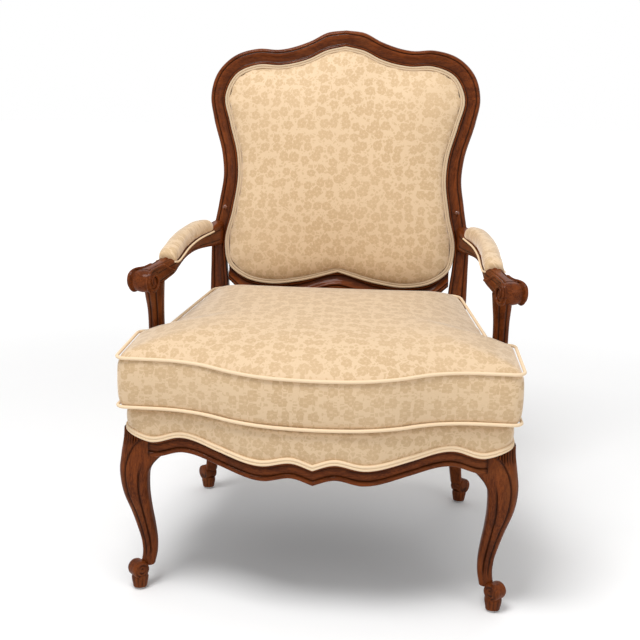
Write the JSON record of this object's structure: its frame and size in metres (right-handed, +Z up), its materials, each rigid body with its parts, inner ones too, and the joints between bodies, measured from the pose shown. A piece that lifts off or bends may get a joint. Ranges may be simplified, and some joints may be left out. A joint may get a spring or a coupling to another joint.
{
  "type": "armchair",
  "caption": "Carved open-arm easy chair with cabriole legs, a shaped show-wood back, padded arms and a loose ear-fronted seat cushion in floral damask.",
  "frame": {"origin": "on the floor under the middle of the chair's bounding box", "axes": "+Z up, the sitter faces -Y, +X to the right as the chair is seen from the front"},
  "size_m": [0.7094, 0.722, 1.0326],
  "materials": {
    "walnut": "satin dark walnut stain",
    "beech": "raw hardwood",
    "damask": "cream floral damask with a satin ground",
    "welting": "cream cord welt",
    "webbing": "woven jute",
    "burlap": "coarse woven",
    "cambric": "black spunbond",
    "filling": "foam",
    "zip_tape": "woven tape",
    "brass": "satin",
    "steel": "plain",
    "glide": "pressed"
  },
  "bodies": {
    "chair_frame": {"arm_left": "walnut", "arm_pad_left": "damask", "arm_pad_right": "damask", "arm_pad_welt_left": "welting", "arm_pad_welt_right": "welting", "arm_right": "walnut", "arm_support_left": "walnut", "arm_support_right": "walnut", "back_inner_frame": "beech", "back_lower_rail": "walnut", "back_pad": "damask", "back_webbing": "webbing", "back_welt": "welting", "corner_block_screws": "steel", "corner_blocks": "beech", "crest_rail": "walnut", "deck_welt": "welting", "dust_cover": "cambric", "foot_glides": "glide", "frame_dowels": "beech", "front_leg_left": "walnut", "front_leg_right": "walnut", "front_rail": "walnut", "outside_back": "damask", "outside_back_welt": "welting", "rear_seat_rail": "beech", "seat_deck": "damask", "seat_springs": "steel", "side_rail_left": "walnut", "side_rail_right": "walnut", "spring_clips": "steel", "spring_cover": "burlap", "stile_left": "walnut", "stile_plugs": "walnut", "stile_right": "walnut"},
    "seat_cushion": {"cushion_cover": "damask", "cushion_core": "filling", "cushion_top_welt": "welting", "cushion_bottom_welt": "welting", "cushion_zipper": "zip_tape"},
    "zip_pull": {"zip_slider": "brass"}
  },
  "joints": [
    {"name": "cushion_lift", "type": "slide", "parent": "chair_frame", "child": "seat_cushion", "axis": [0, -0.9659, 0.2588], "range_m": [0, 0.65]},
    {"name": "zip_slide", "type": "slide", "parent": "seat_cushion", "child": "zip_pull", "axis": [1, 0, 0], "range_m": [0, 0.336]}
  ]
}
